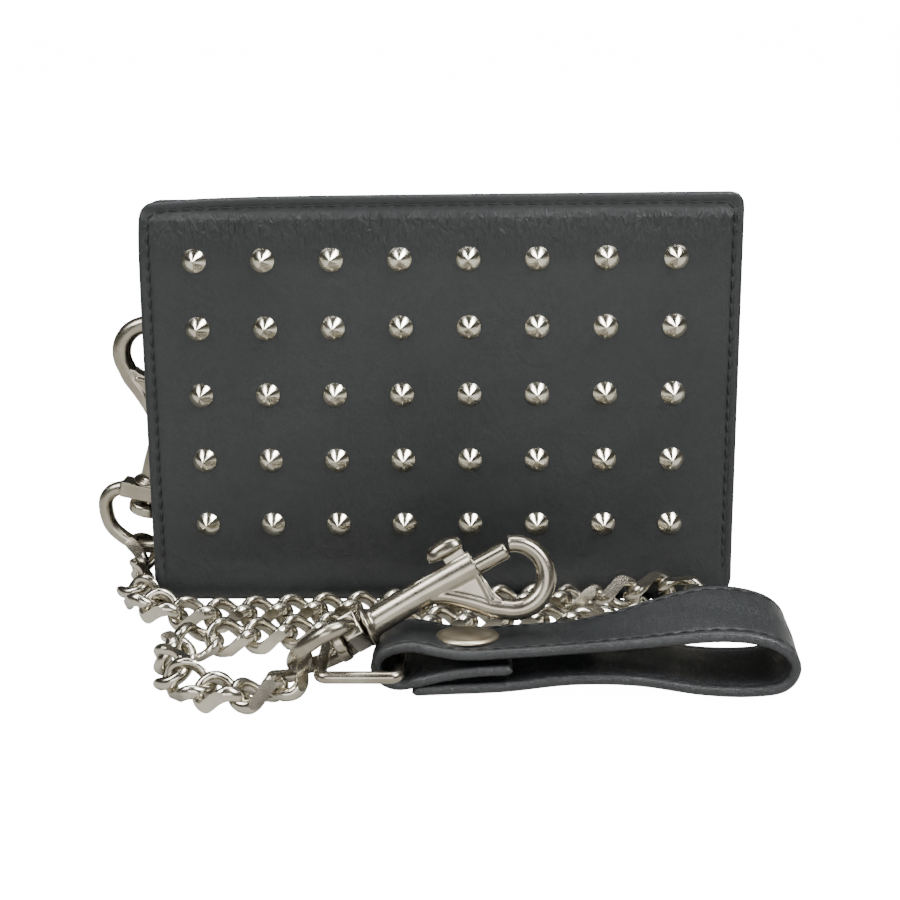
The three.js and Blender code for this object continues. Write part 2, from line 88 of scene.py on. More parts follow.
DEE = {"half": 10.2, "length": 17.8, "wire": 1.75, "beam": 3.8, "beam_half": 6.9, "gap": 0.4}
STRAP = {"near": -60.0, "far": -40.5, "thickness": 2.2}
SNAP = {"x": 6.3, "y": -50.6, "radius": 6.7, "tilt": -0.155}
HOOK_2_FACING = Vector((0.08, -0.9, 0.42))
HOOK_1_SHIFT = -0.9  # hook 1 sits this far to the left of its CAD place, as in the photo
RING_WIRE = {"radius": 1.3, "corner": 1.6}
LOWEST_LINK = {"height": -0.8, "most_lift": 1.6}

# Texture sizes: repeats per metre on each axis, and the wrinkles' band as (height in decimetres, level)
SCRATCH_SCALE = (900, 900, 9000)
WRINKLE_SCALE = (1000, 1000, 380)
WRINKLE_BAND = [(0.0, 0), (0.80, 0), (0.905, 1), (0.925, 0), (1.0, 0)]


# ---- Mesh helpers -------------------------------------------------------------------------------
def mesh_object(name, verts, faces, material):
    """A smooth, welded mesh object from vertices in millimetres, its normals turned outwards."""
    mesh = bpy.data.meshes.new(name)
    mesh.from_pydata([tuple(MM * c for c in v) for v in verts], [], faces)
    mesh.validate()
    piece = bpy.data.objects.new(name, mesh)
    bpy.context.scene.collection.objects.link(piece)
    bm = bmesh.new()
    bm.from_mesh(mesh)
    bmesh.ops.remove_doubles(bm, verts=bm.verts, dist=2e-6)
    bmesh.ops.recalc_face_normals(bm, faces=bm.faces)
    for face in bm.faces:
        face.smooth = True
    bm.to_mesh(mesh)
    bm.free()
    mesh.materials.append(material)
    return piece


def grid_faces(rows, columns, close_rows=False, close_columns=False, start=0):
    """Quads over rows of vertices, closed on themselves either way if asked."""
    faces = []
    for i in range(rows if close_rows else rows - 1):
        for j in range(columns if close_columns else columns - 1):
            a = start + i * columns + j
            b = start + i * columns + (j + 1) % columns
            c = start + ((i + 1) % rows) * columns + (j + 1) % columns
            d = start + ((i + 1) % rows) * columns + j
            faces.append((a, b, c, d))
    return faces


def rounding(share):
    """The height of a quarter round at a share of its radius in from the rim, from 0 to 1."""
    return math.sqrt(max(1 - (1 - min(share, 1)) ** 2, 0))


def apply_modifiers(piece):
    """Replaces the mesh with what its modifiers make of it."""
    graph = bpy.context.evaluated_depsgraph_get()
    mesh = bpy.data.meshes.new_from_object(piece.evaluated_get(graph))
    old = piece.data
    piece.modifiers.clear()
    piece.data = mesh
    bpy.data.meshes.remove(old)


def lathe(profile, segments=48):
    """Vertices and faces of a profile of (radius, height) turned about Z."""
    verts = []
    for radius, height in profile:
        for k in range(segments):
            angle = 2 * math.pi * k / segments
            verts.append((radius * math.cos(angle), radius * math.sin(angle), height))
    return verts, grid_faces(len(profile), segments, close_columns=True)


def tube(path, radii, normal, sides=20, closed=False):
    """Vertices and faces of a tube along a flat path. radii gives (in plane, across plane) per point."""
    points = [Vector(p) for p in path]
    count = len(points)
    across = Vector(normal).normalized()
    verts = []
    for i, point in enumerate(points):
        if closed:
            tangent = points[(i + 1) % count] - points[i - 1]
        else:
            tangent = points[min(i + 1, count - 1)] - points[max(i - 1, 0)]
        side = tangent.cross(across).normalized()
        wide, deep = radii[i]
        for k in range(sides):
            angle = 2 * math.pi * k / sides
            verts.append(point + side * wide * math.cos(angle) + across * deep * math.sin(angle))
    faces = grid_faces(count, sides, close_rows=closed, close_columns=True)
    if not closed:
        faces.append(tuple(range(sides)))
        faces.append(tuple(range((count - 1) * sides, count * sides)))
    return verts, faces


def placed(verts, matrix):
    return [matrix @ Vector(v) for v in verts]


def join_parts(parts):
    """One list of vertices and faces out of several."""
    verts, faces = [], []
    for part_verts, part_faces in parts:
        shift = len(verts)
        verts.extend(part_verts)
        faces.extend(tuple(index + shift for index in face) for face in part_faces)
    return verts, faces


def block(x0, x1, y0, y1, z0, z1):
    """A box that is always fused with, or cut out of, something else."""
    verts = [(x, y, z) for x in (x0, x1) for y in (y0, y1) for z in (z0, z1)]
    faces = [(0, 1, 3, 2), (4, 6, 7, 5), (0, 4, 5, 1), (2, 3, 7, 6), (0, 2, 6, 4), (1, 5, 7, 3)]
    return verts, faces


def fuse(piece, voxel, smooth_rounds):
    """Melts overlapping shells into one closed, cast-looking body."""
    remesh = piece.modifiers.new("fuse", "REMESH")
    remesh.mode = "VOXEL"
    remesh.voxel_size = voxel * MM
    smooth = piece.modifiers.new("soften", "SMOOTH")
    smooth.factor = 0.5
    smooth.iterations = smooth_rounds
    apply_modifiers(piece)
    for polygon in piece.data.polygons:
        polygon.use_smooth = True


def cut(piece, verts, faces):
    """Takes a closed cutter away from a piece."""
    cutter = mesh_object("cutter", verts, faces, piece.data.materials[0])
    boolean = piece.modifiers.new("cut", "BOOLEAN")
    boolean.operation = "DIFFERENCE"
    boolean.object = cutter
    apply_modifiers(piece)
    bpy.data.objects.remove(cutter)


def set_in_place(piece, matrix):
    """Moves a mesh by a matrix stated in millimetres, and shades it smooth but for sharp rims."""
    for step in (Matrix.Scale(1 / MM, 4), matrix, Matrix.Scale(MM, 4)):
        piece.data.transform(step)
    piece.data.shade_smooth()
    piece.data.set_sharp_from_angle(angle=math.radians(50))


def smooth_curve(points, count):
    """Points evenly spaced along a Catmull-Rom curve through the given ones."""
    knots = [Vector(p) for p in points]
    knots = [2 * knots[0] - knots[1], *knots, 2 * knots[-1] - knots[-2]]
    fine = []
    for i in range(1, len(knots) - 2):
        p0, p1, p2, p3 = knots[i - 1 : i + 3]
        for k in range(24):
            t = k / 24
            fine.append(
                0.5 * (2 * p1 + (p2 - p0) * t + (2 * p0 - 5 * p1 + 4 * p2 - p3) * t**2
                       + (3 * p1 - p0 - 3 * p2 + p3) * t**3)
            )
    fine.append(knots[-2])
    lengths = [0.0]
    for a, b in zip(fine, fine[1:]):
        lengths.append(lengths[-1] + (b - a).length)
    result = []
    at = 0
    for k in range(count):
        target = lengths[-1] * k / (count - 1)
        while at < len(fine) - 2 and lengths[at + 1] < target:
            at += 1
        span = max(lengths[at + 1] - lengths[at], 1e-9)
        result.append(fine[at].lerp(fine[at + 1], (target - lengths[at]) / span))
    return result


def ride_as(piece, body, slot_name, *nodes):
    """Rides a piece on a body and hides the CAD nodes it stands for; the material slot name is not used."""
    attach(piece, body)
    if nodes:
        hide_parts(*nodes)
    return piece


# ---- Materials ----------------------------------------------------------------------------------
class NodeTree:
    """Short ways to add and join the nodes of a material or of the world."""

    def __init__(self, owner):
        owner.use_nodes = True
        self.nodes, self.links = owner.node_tree.nodes, owner.node_tree.links

    def add(self, kind, **values):
        """A new node with its inputs, or failing that its settings, given by name."""
        node = self.nodes.new("ShaderNode" + kind)
        for key, value in values.items():
            if key in node.inputs:
                node.inputs[key].default_value = value
            else:
                setattr(node, key, value)
        return node

    def join(self, source, target):
        self.links.new(source, target)

    def object_space(self):
        return self.add("TexCoord").outputs["Object"]

    def texture(self, kind, place, **values):
        """A texture node read at a place."""
        node = self.add("Tex" + kind, **values)
        self.join(place, node.inputs["Vector"])
        return node

    def ramp(self, source, *stops):
        """A colour ramp over a value, from stops of (position, colour)."""
        node = self.add("ValToRGB")
        elements = node.color_ramp.elements
        while len(elements) < len(stops):
            elements.new(1.0)
        for k, (position, colour) in enumerate(stops):
            elements[k].position = position
            elements[k].color = (*colour, 1)
        self.join(source, node.inputs["Fac"])
        return node.outputs["Color"]

    def remap(self, source, **limits):
        """Stretches a value over another range; From_Min and the like name the limits."""
        node = self.add("MapRange", **{key.replace("_", " "): value for key, value in limits.items()})
        self.join(source, node.inputs["Value"])
        return node.outputs["Result"]

    def times(self, source, factor):
        """A value times a number or another value."""
        node = self.add("Math", operation="MULTIPLY")
        self.join(source, node.inputs[0])
        if isinstance(factor, (int, float)):
            node.inputs[1].default_value = factor
        else:
            self.join(factor, node.inputs[1])
        return node.outputs["Value"]

    def mix(self, share, first, second):
        """One shader or the other, by a share of 0 or 1."""
        node = self.add("MixShader")
        for source, target in zip((share, first.outputs[0], second.outputs[0]), node.inputs):
            self.join(source, target)
        return node

    def bumps(self, target, *layers):
        """Stacks bumps of (height, strength, distance) and joins the last to a normal input."""
        last = None
        for height, strength, distance in layers:
            bump = self.add("Bump", Strength=strength, Distance=distance)
            self.join(height, bump.inputs["Height"])
            if last is not None:
                self.join(last.outputs["Normal"], bump.inputs["Normal"])
            last = bump
        self.join(last.outputs["Normal"], target)


def new_material(name):
    material = bpy.data.materials.new(name)
    tree = NodeTree(material)
    return material, tree, tree.nodes["Principled BSDF"].inputs


def top_wrinkles(tree, place):
    """The height of short upright folds, in a band right under the wallet's top seam."""
    stretch = tree.add("Mapping", Scale=WRINKLE_SCALE)
    tree.join(place, stretch.inputs["Vector"])
    folds = tree.texture("Noise", stretch.outputs["Vector"], Scale=1.0, Detail=3.0, Distortion=0.9)
    axes = tree.add("SeparateXYZ")
    tree.join(place, axes.inputs["Vector"])
    levels = [(height, (level,) * 3) for height, level in WRINKLE_BAND]
    band = tree.ramp(tree.times(axes.outputs["Z"], 10), *levels)
    return tree.times(folds.outputs["Fac"], band)


def leather_material(name, colour, worn, roughness, grain_mm, grain, crease, wrinkled=False):
    """Grained leather: cells with valleys, painted darker in colour as painted shade, long soft creases,
    uneven tone and sheen. Wrinkled leather also has short upright folds under the wallet's top seam."""
    material, tree, surface = new_material(name)
    place = tree.object_space()
    warp = tree.texture("Noise", place, Scale=700 / grain_mm, Detail=2.0)
    bend = tree.add("MixRGB", Fac=0.0012)
    tree.join(place, bend.inputs["Color1"])
    tree.join(warp.outputs["Color"], bend.inputs["Color2"])
    bent = bend.outputs["Color"]
    cells = tree.texture("Voronoi", bent, feature="DISTANCE_TO_EDGE", Scale=1000 / grain_mm)
    valley = tree.remap(cells.outputs["Distance"], From_Max=0.16)
    pores = tree.texture("Noise", place, Scale=2600 / grain_mm, Detail=4.0).outputs["Fac"]
    creases = tree.texture("Noise", place, Scale=110.0, Detail=6.0, Distortion=1.6).outputs["Fac"]
    tone = tree.texture("Noise", place, Scale=28.0, Detail=5.0).outputs["Fac"]
    # Painted shade: the base colour is darkened in the grain's valleys, where shade falls.
    valley_shade = tree.add("MixRGB", blend_type="MULTIPLY", Fac=0.55)
    tree.join(tree.ramp(tone, (0.35, colour), (0.72, worn)), valley_shade.inputs["Color1"])
    tree.join(valley, valley_shade.inputs["Color2"])
    tree.join(valley_shade.outputs["Color"], surface["Base Color"])
    surface["Specular IOR Level"].default_value = 0.4
    gloss = tree.remap(creases, To_Min=roughness - 0.07, To_Max=roughness + 0.1)
    tree.join(gloss, surface["Roughness"])
    layers = [(valley, grain, 0.00006), (pores, 0.35 * grain, 0.00005), (creases, crease, 0.0008)]
    if wrinkled:
        layers.append((top_wrinkles(tree, place), 0.85, 0.0010))
    tree.bumps(surface["Normal"], *layers)
    return material


def metal_material(name, colour, dark, roughness, scratch=0.035):
    """Plated metal: faint tarnish clouds, fine scratches and uneven polish."""
    material, tree, surface = new_material(name)
    surface["Metallic"].default_value = 1.0
    place = tree.object_space()
    clouds = tree.texture("Noise", place, Scale=160.0, Detail=5.0).outputs["Fac"]
    tree.join(tree.ramp(clouds, (0.3, dark), (0.6, colour)), surface["Base Color"])
    polish = tree.remap(clouds, To_Min=roughness - 0.05, To_Max=roughness + 0.09)
    tree.join(polish, surface["Roughness"])
    stretch = tree.add("Mapping", Scale=SCRATCH_SCALE)
    tree.join(place, stretch.inputs["Vector"])
    lines = tree.texture("Noise", stretch.outputs["Vector"], Scale=1.0, Detail=3.0)
    tree.bumps(surface["Normal"], (lines.outputs["Fac"], scratch, 0.00004))
    return material


def plain_material(name, colour, roughness, noise_scale, strength):
    """A matt material with a fine tooth, for thread and the floor."""
    material, tree, surface = new_material(name)
    surface["Roughness"].default_value = roughness
    tooth = tree.texture("Noise", tree.object_space(), Scale=noise_scale, Detail=4.0).outputs["Fac"]
    tone = tree.add("MixRGB", Color1=(*[0.9 * c for c in colour], 1), Color2=(*colour, 1))
    tree.join(tooth, tone.inputs["Fac"])
    tree.join(tone.outputs["Color"], surface["Base Color"])
    tree.bumps(surface["Normal"], (tooth, strength, 0.00005))
    return material


COVER_LEATHER = leather_material(
    "cover_leather_black", (0.0065, 0.0085, 0.009), (0.0115, 0.0135, 0.014), 0.43, 0.42, 0.3, 0.2, True
)
POCKET_LEATHER = leather_material(
    "pocket_leather_black", (0.012, 0.012, 0.012), (0.022, 0.021, 0.020), 0.6, 0.8, 0.5, 0.05
)
STRAP_LEATHER = leather_material(
    "strap_leather_black", (0.013, 0.0145, 0.0155), (0.023, 0.0245, 0.026), 0.34, 0.6, 0.8, 0.16
)
NICKEL = metal_material("nickel_plate", (0.50, 0.47, 0.395), (0.36, 0.335, 0.27), 0.19)
FITTING = metal_material("fitting_nickel", (0.345, 0.318, 0.258), (0.25, 0.227, 0.178), 0.24)
STUD_NICKEL = metal_material("stud_nickel", (0.68, 0.65, 0.55), (0.50, 0.465, 0.375), 0.15, 0.03)
SNAP_METAL = metal_material("snap_bronze", (0.66, 0.59, 0.45), (0.46, 0.385, 0.27), 0.33)
THREAD = plain_material("black_thread", (0.005, 0.005, 0.005), 0.8, 4000, 0.6)


# ---- Wallet covers ------------------------------------------------------------------------------
def face_y(side, z, depth=0.0):
    """The leaning face of a cover: side -1 is the studded front, +1 the rear."""
    return side * (COVER["fold"] / 2 - z * math.tan(COVER["lean"]) - depth)


def half_width(z):
    """Half the cover's width at a height, rounded at the foot's and the top's corners."""
    half, height = COVER["half"], COVER["height"]
    foot, top = CORNER["foot"], CORNER["top"]
    if z < foot:
        return half - foot + math.sqrt(max(foot**2 - (foot - z) ** 2, 0))
    if z > height - top:
        return half - top + math.sqrt(max(top**2 - (z - height + top) ** 2, 0))
    return half


def belly(z):
    """How far the front bulges forwards above the fold."""
    return FOOT_BELLY * math.exp(-(((z - FOOT_RADIUS["front"]) / 5) ** 2))


def settled(point, side):
    """A point of the covers moved to the worn outline: the left edge spread towards the foot, its top
    corner drawn in, the front's top standing a little above the rear's."""
    x, y, z = point
    share = min(max(z / COVER["height"], 0), 1)
    left = max(-x / COVER["half"], 0) ** 6
    right = max(x / COVER["half"], 0) ** 6
    from_top = COVER["height"] - z
    x += left * (-1.35 + 1.0 * share + 1.1 * math.exp(-from_top / 5)) - 0.3 * right
    top = 0.85 - 1.5 * math.exp(-(x + COVER["half"]) / 13) if side < 0 else -0.6
    return Vector((x, y, z + top * share**4))


def cover_path():
    """The covers' outer line in (Y, Z) with its outward normal, from the front's top to the rear's."""
    height = COVER["height"]
    lean = COVER["lean"]
    path = []
    heights = [height - 0.25 * k for k in range(8)]
    heights += list(np.linspace(height - 2.2, FACE_START, 66)) + [8, 7, 6, 5]
    for z in heights:
        path.append((face_y(-1, z) - belly(z), z, -math.cos(lean), math.sin(lean)))
    for side, radius in ((-1, FOOT_RADIUS["front"]), (1, FOOT_RADIUS["rear"])):
        centre_y = side * (COVER["fold"] / 2 - radius * FOOT_SETBACK) - (belly(radius) if side < 0 else 0)
        turns = np.linspace(0, math.pi / 2, 12)
        if side > 0:
            turns = turns[::-1]
        for turn in turns:
            y = centre_y + side * radius * math.cos(turn)
            z = radius - radius * math.sin(turn)
            path.append((y, z, side * math.cos(turn), -math.sin(turn)))
        if side < 0:
            start, end = path[-1][0], COVER["fold"] / 2 - FOOT_RADIUS["rear"] * FOOT_SETBACK
            for y in np.linspace(start, end, 12)[1:-1]:
                path.append((y, 0.0, 0.0, -1.0))
    for z in heights[::-1]:
        path.append((face_y(1, z), z, math.cos(lean), math.sin(lean)))
    return path


def cover_columns():
    """Fractions across the width, close together near the two edges."""
    edge = [0, 0.12, 0.3, 0.55, 0.85, 1.3, 1.8, 2.1, 2.3, 2.5, 2.7, 2.9, 3.3, 4.0, 5.0]
    half = COVER["half"]
    left = [-1 + e / half for e in edge]
    middle = list(np.linspace(-1 + 6.2 / half, 1 - 6.2 / half, 92))
    return left + middle + [-u for u in left[::-1]]


def puff(x, z):
    """How far the cover's leather stands off its flat, a soft uneven swell with a few long ripples."""
    swell = 0.22 * math.sin(0.043 * x + 0.6) * math.sin(0.035 * z)
    ripple = 0.10 * math.sin(0.16 * x + 0.05 * z) * math.exp(-(((z - 90) / 7) ** 2))
    shoulder = 0.42 * math.exp(-(((z - 86.5) / 4.5) ** 2)) * (0.8 + 0.2 * math.sin(0.09 * x))
    return swell + ripple + shoulder + 0.06 * math.sin(0.31 * x - 0.22 * z) * math.sin(0.07 * x + 0.2 * z)


def seam_groove(edge):
    """The dent a seam leaves at a distance from the edge."""
    return 0.26 * math.exp(-(((edge - SEAM["inset"]) / 0.5) ** 2))


def covers():
    """The leather of both covers and the fold between them, as one closed sheet."""
    path = cover_path()
    columns = cover_columns()
    thickness = COVER["leather"]
    rows = len(path)
    outer, inner = [], []
    for y, z, ny, nz in path:
        side = -1 if y < 0 else 1
        wide = half_width(z)
        on_face = abs(ny) > 0.9 and z > FACE_START
        for u in columns:
            x = u * wide
            edge = min(wide - abs(x), COVER["height"] - z)
            roll = thickness / 2 * rounding(edge / (thickness / 2))
            lift = puff(x, z) * min(edge / SOFT_EDGE, 1) if on_face else 0
            fade = min(max((z - 4) / 6, 0), 1)
            dent = seam_groove(edge) * fade
            middle = -thickness / 2
            rise = middle + roll + lift - dent
            outer.append(settled((x, y + ny * rise, z + nz * rise), side))
            inner.append(settled((x, y + ny * (middle - roll), z + nz * (middle - roll)), side))
    faces = grid_faces(rows, len(columns)) + grid_faces(rows, len(columns), start=len(outer))
    piece = mesh_object("cover_leather", outer + inner, faces, COVER_LEATHER)
    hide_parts("front_cover", "rear_cover")
    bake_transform(piece)


def stitch(start, end, normal, radius):
    """A short sunk thread from start to end, bowed out along the normal."""
    points = []
    for k in range(7):
        t = k / 6
        rise = math.sin(math.pi * t) * 1.7 * radius - 0.8 * radius
        points.append(start.lerp(end, t) + normal * rise)
    side = (end - start).cross(normal)
    radii = [(radius * (0.65 + 0.35 * math.sin(math.pi * k / 6)),) * 2 for k in range(7)]
    return tube(points, radii, side, sides=6)


def cover_seam(side, body, name):
    """Stitches up one edge, along the top and down the other edge of a cover."""
    inset, pitch = SEAM["inset"], SEAM["pitch"]
    half, height = COVER["half"] - inset, COVER["height"] - inset
    corner = 1.6
    outline = [(-half, 8), (-half, height - corner), (-half + corner, height), (half - corner, height),
               (half, height - corner), (half, 8)]
    normal = Vector((0, side * math.cos(COVER["lean"]), math.sin(COVER["lean"])))
    parts = []
    for (x0, z0), (x1, z1) in zip(outline, outline[1:]):
        count = max(1, round(math.hypot(x1 - x0, z1 - z0) / pitch))
        for k in range(count):
            ends = []
            for t in (k + 0.1, k + 0.9):
                x = x0 + (x1 - x0) * t / count
                z = z0 + (z1 - z0) * t / count
                lift = puff(x, z) * min(inset / SOFT_EDGE, 1) - 0.2
                ends.append(settled(Vector((x, face_y(side, z), z)) + normal * lift, side))
            parts.append(stitch(ends[0], ends[1], normal, SEAM["thread"]))
    ride_as(mesh_object(name, *join_parts(parts), THREAD), body, "cover_leather")


def studs():
    """Forty turned cone studs with soft tips and thin rims."""
    radius, height = STUD["radius"], STUD["height"]
    profile = [(0, -0.5), (radius * 0.96, -0.5), (radius, -0.3), (radius, 0.12), (radius - 0.08, 0.24),
               (radius * 0.5, 0.24 + (height - 0.3) * 0.5), (0.22, height - 0.1), (0.1, height - 0.02),
               (0, height)]
    verts, faces = lathe(profile, 40)
    flutes = [1 + 0.006 * math.sin(2.4 * k * k) for k in range(40)]
    verts = [(x * flutes[i % 40], y * flutes[i % 40], z) for i, (x, y, z) in enumerate(verts)]
    up = Vector((0, -math.cos(COVER["lean"]), math.sin(COVER["lean"])))
    turn = Vector((0, 0, 1)).rotation_difference(up).to_matrix().to_4x4()
    along = Vector((0, math.sin(COVER["lean"]), math.cos(COVER["lean"])))
    foot = Vector((0, -COVER["fold"] / 2, 0))
    parts = []
    for row in range(STUD["rows"]):
        for column in range(STUD["columns"]):
            x = -COVER["half"] + STUD["left"] + column * STUD["pitch"]
            centre = foot + along * (STUD["foot"] + row * STUD["pitch"]) + Vector((x, 0, 0))
            centre += up * puff(x, centre.z) * 0.6
            spin = Matrix.Rotation(1.9 * len(parts), 4, "Z")
            parts.append((placed(verts, Matrix.Translation(centre) @ turn @ spin), faces))
    piece = mesh_object("cone_studs", *join_parts(parts), STUD_NICKEL)
    ride_as(piece, "wallet_front", "stud_nickel", "studs")


# ---- Inside the wallet --------------------------------------------------------------------------
def panel(name, side, x0, x1, z0, z1, depth, thickness, body, dip=0.0, nodes=()):
    """A leather panel inside a cover, depth behind its face, with a rolled rim and an optional dip
    in its top edge."""
    edge_steps = [0, 0.1, 0.25, 0.5, 0.9, 1.4, 1.8, 2.2, 2.8]
    across = [x0 + e for e in edge_steps] + list(np.linspace(x0 + 4, x1 - 4, 34))
    across += [x1 - e for e in edge_steps[::-1]]
    up = edge_steps + list(np.linspace(4, z1 - z0 - 4, 22)) + [z1 - z0 - e for e in edge_steps[::-1]]
    normal = Vector((0, -side * math.cos(COVER["lean"]), -math.sin(COVER["lean"])))
    front, back = [], []
    middle_x = (x0 + x1) / 2
    for rise in up:
        for x in across:
            share = rise / (z1 - z0)
            bowl = dip * math.exp(-(((x - middle_x) / 9) ** 4)) * share**3
            z = z0 + rise - bowl
            edge = min(x - x0, x1 - x, rise, z1 - z0 - rise)
            roll = thickness / 2 * rounding(edge / (thickness / 2))
            dent = 0.09 * math.exp(-(((edge - 1.8) / 0.35) ** 2))
            centre = Vector((x, face_y(side, z, depth + thickness / 2), z))
            front.append(centre + normal * (roll - dent))
            back.append(centre - normal * roll)
    count = len(across)
    faces = grid_faces(len(up), count) + grid_faces(len(up), count, start=len(front))
    piece = mesh_object(name, front + back, faces, POCKET_LEATHER)
    return ride_as(piece, body, "pocket_leather", *nodes)


def inside():
    """Linings, card slots, the bill pocket and the coin pocket."""
    panel("front_backing", -1, -59, 57, 16, 86, 2.1, 0.45, "wallet_front")
    panel("card_lining", -1, -50, 66, 9, 88, 2.95, 0.55, "wallet_front", nodes=("card_pocket",))
    for k, top in enumerate((80, 66, 48)):
        panel(f"card_slot_{k + 1}", -1, -50, 66, 9, top, 3.6 + 0.75 * k, 0.65, "wallet_front", dip=3.5)
    panel("bill_back", 1, -50, 66, 9, 86, 2.15, 0.5, "wallet_rear", nodes=("bill_pocket",))
    panel("bill_front", 1, -50, 66, 9, 84, 2.95, 0.5, "wallet_rear", dip=5)
    panel("coin_back", 1, -30, 46, 12, 56, 3.65, 0.5, "wallet_rear", nodes=("coin_pocket",))
    panel("coin_front", 1, -30, 46, 12, 52, 4.45, 0.55, "wallet_rear", dip=4)


def chain_tab():
    """The sewn leather tab, with a hole that holds the chain's first ring."""
    low, high = (Vector(corner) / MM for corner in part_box("chain_tab"))
    hole_x, hole_z = -59.0, 66.9
    outline = smooth_curve(
        [(-42, 0, 59), (-50, 0, 59.2), (-56, 0, 61), (-60.6, 0, 64.4), (-61.4, 0, 67), (-59.6, 0, 69.4),
         (-55, 0, 71.6), (-50, 0, 72.8), (-42, 0, 73)], 46)
    centre = Vector((-50, 0, 66.5))
    middle_y = (low.y + high.y) / 2
    verts = []
    for inset, depth in ((0, 0), (0.18, 0.28), (0.5, 0.4), (1.6, 0.4), (1.9, 0.32), (2.2, 0.4)):
        for sign in (1, -1):
            for point in outline:
                inwards = (centre - point).normalized() * inset
                verts.append(point + inwards + Vector((0, middle_y + sign * depth, 0)))
    count = len(outline)
    faces = []
    for ring in range(5):
        for sign in (0, 1):
            a, b = (2 * ring + sign) * count, (2 * ring + 2 + sign) * count
            faces += [(a + k, a + (k + 1) % count, b + (k + 1) % count, b + k) for k in range(count)]
    faces += [tuple(range(10 * count, 11 * count)), tuple(range(11 * count, 12 * count))]
    tab = mesh_object("chain_tab_leather", verts, faces, COVER_LEATHER)
    hole, hole_faces = lathe([(0, -3), (1.05, -3), (1.05, 3), (0, 3)], 24)
    turn = Matrix.Translation((hole_x, middle_y, hole_z)) @ Matrix.Rotation(math.pi / 2, 4, "X")
    cut(tab, placed(hole, turn), hole_faces)
    ride_as(tab, "wallet_front", "cover_leather", "chain_tab")


# ---- Chain --------------------------------------------------------------------------------------
def link_mesh():
    """One curb link: a twisted oval of thick wire, its two long sides ground flat."""
    wire = LINK["wire"] / 2
    long, wide = LINK["length"] / 2 - wire, LINK["width"] / 2 - wire
    segments, sides = 64, 20
    verts = []
    for i in range(segments):
        around = 2 * math.pi * i / segments
        c, s = math.cos(around), math.sin(around)
        x = long * math.copysign(abs(c) ** 0.9, c)
        y = wide * math.copysign(abs(s) ** 0.94, s)
        depth = (LINK["end"] + (LINK["side"] - LINK["end"]) * s**4) / 2
        out = Vector((c / long, s / wide)).normalized()
        for k in range(sides):
            angle = 2 * math.pi * k / sides
            r, up = wire * math.cos(angle), depth * math.sin(angle)
            px, py = x + out.x * r, y + out.y * r
            turn = LINK["twist"] * math.sin(math.pi / 2 * max(-1, min(1, px / (0.9 * long))))
            ct, st = math.cos(turn), math.sin(turn)
            verts.append((px, py * ct - up * st, py * st + up * ct))
    mesh = bpy.data.meshes.new("curb_link")
    mesh.from_pydata([tuple(MM * c for c in v) for v in verts], [],
                     grid_faces(segments, sides, close_rows=True, close_columns=True))
    bm = bmesh.new()
    bm.from_mesh(mesh)
    flat = (LINK["width"] / 2 - LINK["flat"]) * MM
    for sign in (1, -1):
        geometry = bm.verts[:] + bm.edges[:] + bm.faces[:]
        bisected = bmesh.ops.bisect_plane(bm, geom=geometry, plane_co=(0, sign * flat, 0),
                                          plane_no=(0, sign, 0), clear_outer=True)
        rim = [e for e in bisected["geom_cut"] if isinstance(e, bmesh.types.BMEdge)]
        bmesh.ops.holes_fill(bm, edges=rim)
    bmesh.ops.recalc_face_normals(bm, faces=bm.faces)
    for face in bm.faces:
        face.smooth = len(face.verts) <= 4
    for edge in bm.edges:
        if any(len(face.verts) > 4 for face in edge.link_faces):
            edge.smooth = False
    bm.to_mesh(mesh)
    bm.free()
    mesh.materials.append(NICKEL)
    return mesh


def link_frame(node):
    """A link's place and axes: its length, width and thickness directions."""
    vertices = frame["nodes"][node].data.vertices
    points = np.array([v.co for v in vertices], float)
    centre = (points.min(0) + points.max(0)) / 2
    centre = points.mean(0) if np.linalg.norm(points.mean(0) - centre) < 5e-4 else centre
    _, axes = np.linalg.eigh(np.cov((points - centre).T))
    along, across = Vector(axes[:, 2]), Vector(axes[:, 1])
    up = along.cross(across)
    return Matrix.Translation(Vector(centre)) @ Matrix((along, across, up)).transposed().to_4x4()


def chain():
    """All links, one shared mesh, each lifted if it would dip far below the floor."""
    mesh = link_mesh()
    links = sorted(node for node in frame["nodes"] if node.startswith("link_"))
    for node in links:
        piece = bpy.data.objects.new(f"curb_{node}", mesh)
        bpy.context.scene.collection.objects.link(piece)
        piece.matrix_world = link_frame(node)
        bpy.context.view_layer.update()
        lowest = min((piece.matrix_world @ v.co).z for v in mesh.vertices) / MM
        piece.location.z += MM * min(max(LOWEST_LINK["height"] - lowest, 0), LOWEST_LINK["most_lift"])
        ride_as(piece, node, "chain_nickel", node)


# ---- Bolt snap hooks ----------------------------------------------------------------------------
def frame_at(point, across, along):
    """A frame at a point: Z along one direction, X as near as can be to another."""
    side = along.cross(across).normalized()
    across = side.cross(along).normalized()
    return Matrix.Translation(point) @ Matrix((across, side, along)).transposed().to_4x4()


def hook_frames(number):
    """The frames of a hook's body and of its dee: X across, Z along the barrel, at the skirt's foot."""
    turn = JOINTS["hook1_swivel_turn" if number == 1 else "hook2_turn"]
    foot = Vector(turn["pos_m"]) / MM
    along = Vector(turn["axis"]).normalized()
    if number == 1:
        foot.x += HOOK_1_SHIFT
        across = along.cross(Vector((0, 1, 0)))
        return (frame_at(foot, across, along),) * 2
    across = along.cross(HOOK_2_FACING)
    dee_across = Vector(JOINTS["hook2_swivel_swing"]["axis"])
    return frame_at(foot, across, along), frame_at(foot, dee_across, along)


def eye_point(angle, radius):
    """A point round the hook's eye, at an angle from straight across."""
    across = HOOK["eye_across"] + radius * math.cos(angle)
    return Vector((across, 0, HOOK["eye_along"] + radius * math.sin(angle)))


